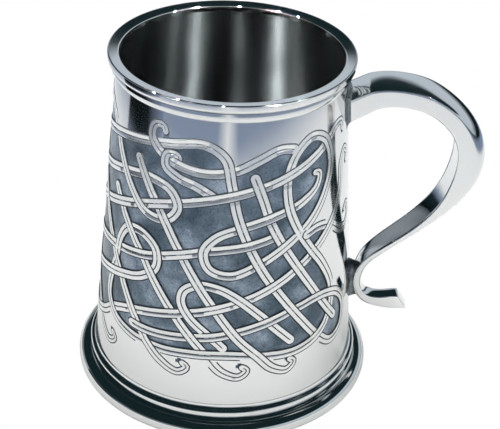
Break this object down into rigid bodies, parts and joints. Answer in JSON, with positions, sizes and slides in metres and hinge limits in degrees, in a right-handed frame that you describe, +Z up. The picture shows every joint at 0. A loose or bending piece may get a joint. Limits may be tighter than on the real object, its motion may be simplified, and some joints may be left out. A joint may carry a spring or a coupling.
{
  "type": "tankard",
  "caption": "Tapered pewter drinking tankard on a stepped spun foot, with a beaded lip and a cast scroll handle that ends in a curled tail.",
  "frame": {"origin": "centre of the standing ring, on the table, on the drum's axis", "axes": "+Z up along the drum's axis, +X towards the handle"},
  "size_m": [0.1371, 0.1036, 0.12],
  "materials": {
    "polished_pewter": "polished",
    "satin_pewter": "lathe brushed satin",
    "patinated_pewter": "chemically darkened, matte",
    "solder": "soft satin"
  },
  "bodies": {
    "root": {"drum": "polished_pewter", "side_seam": "solder", "floor_disc": "satin_pewter", "floor_solder": "solder", "rim_moulding": "polished_pewter", "foot_moulding": "polished_pewter", "handle": "polished_pewter", "upper_joint_solder": "solder", "lower_joint_pad": "solder"}
  },
  "joints": []
}
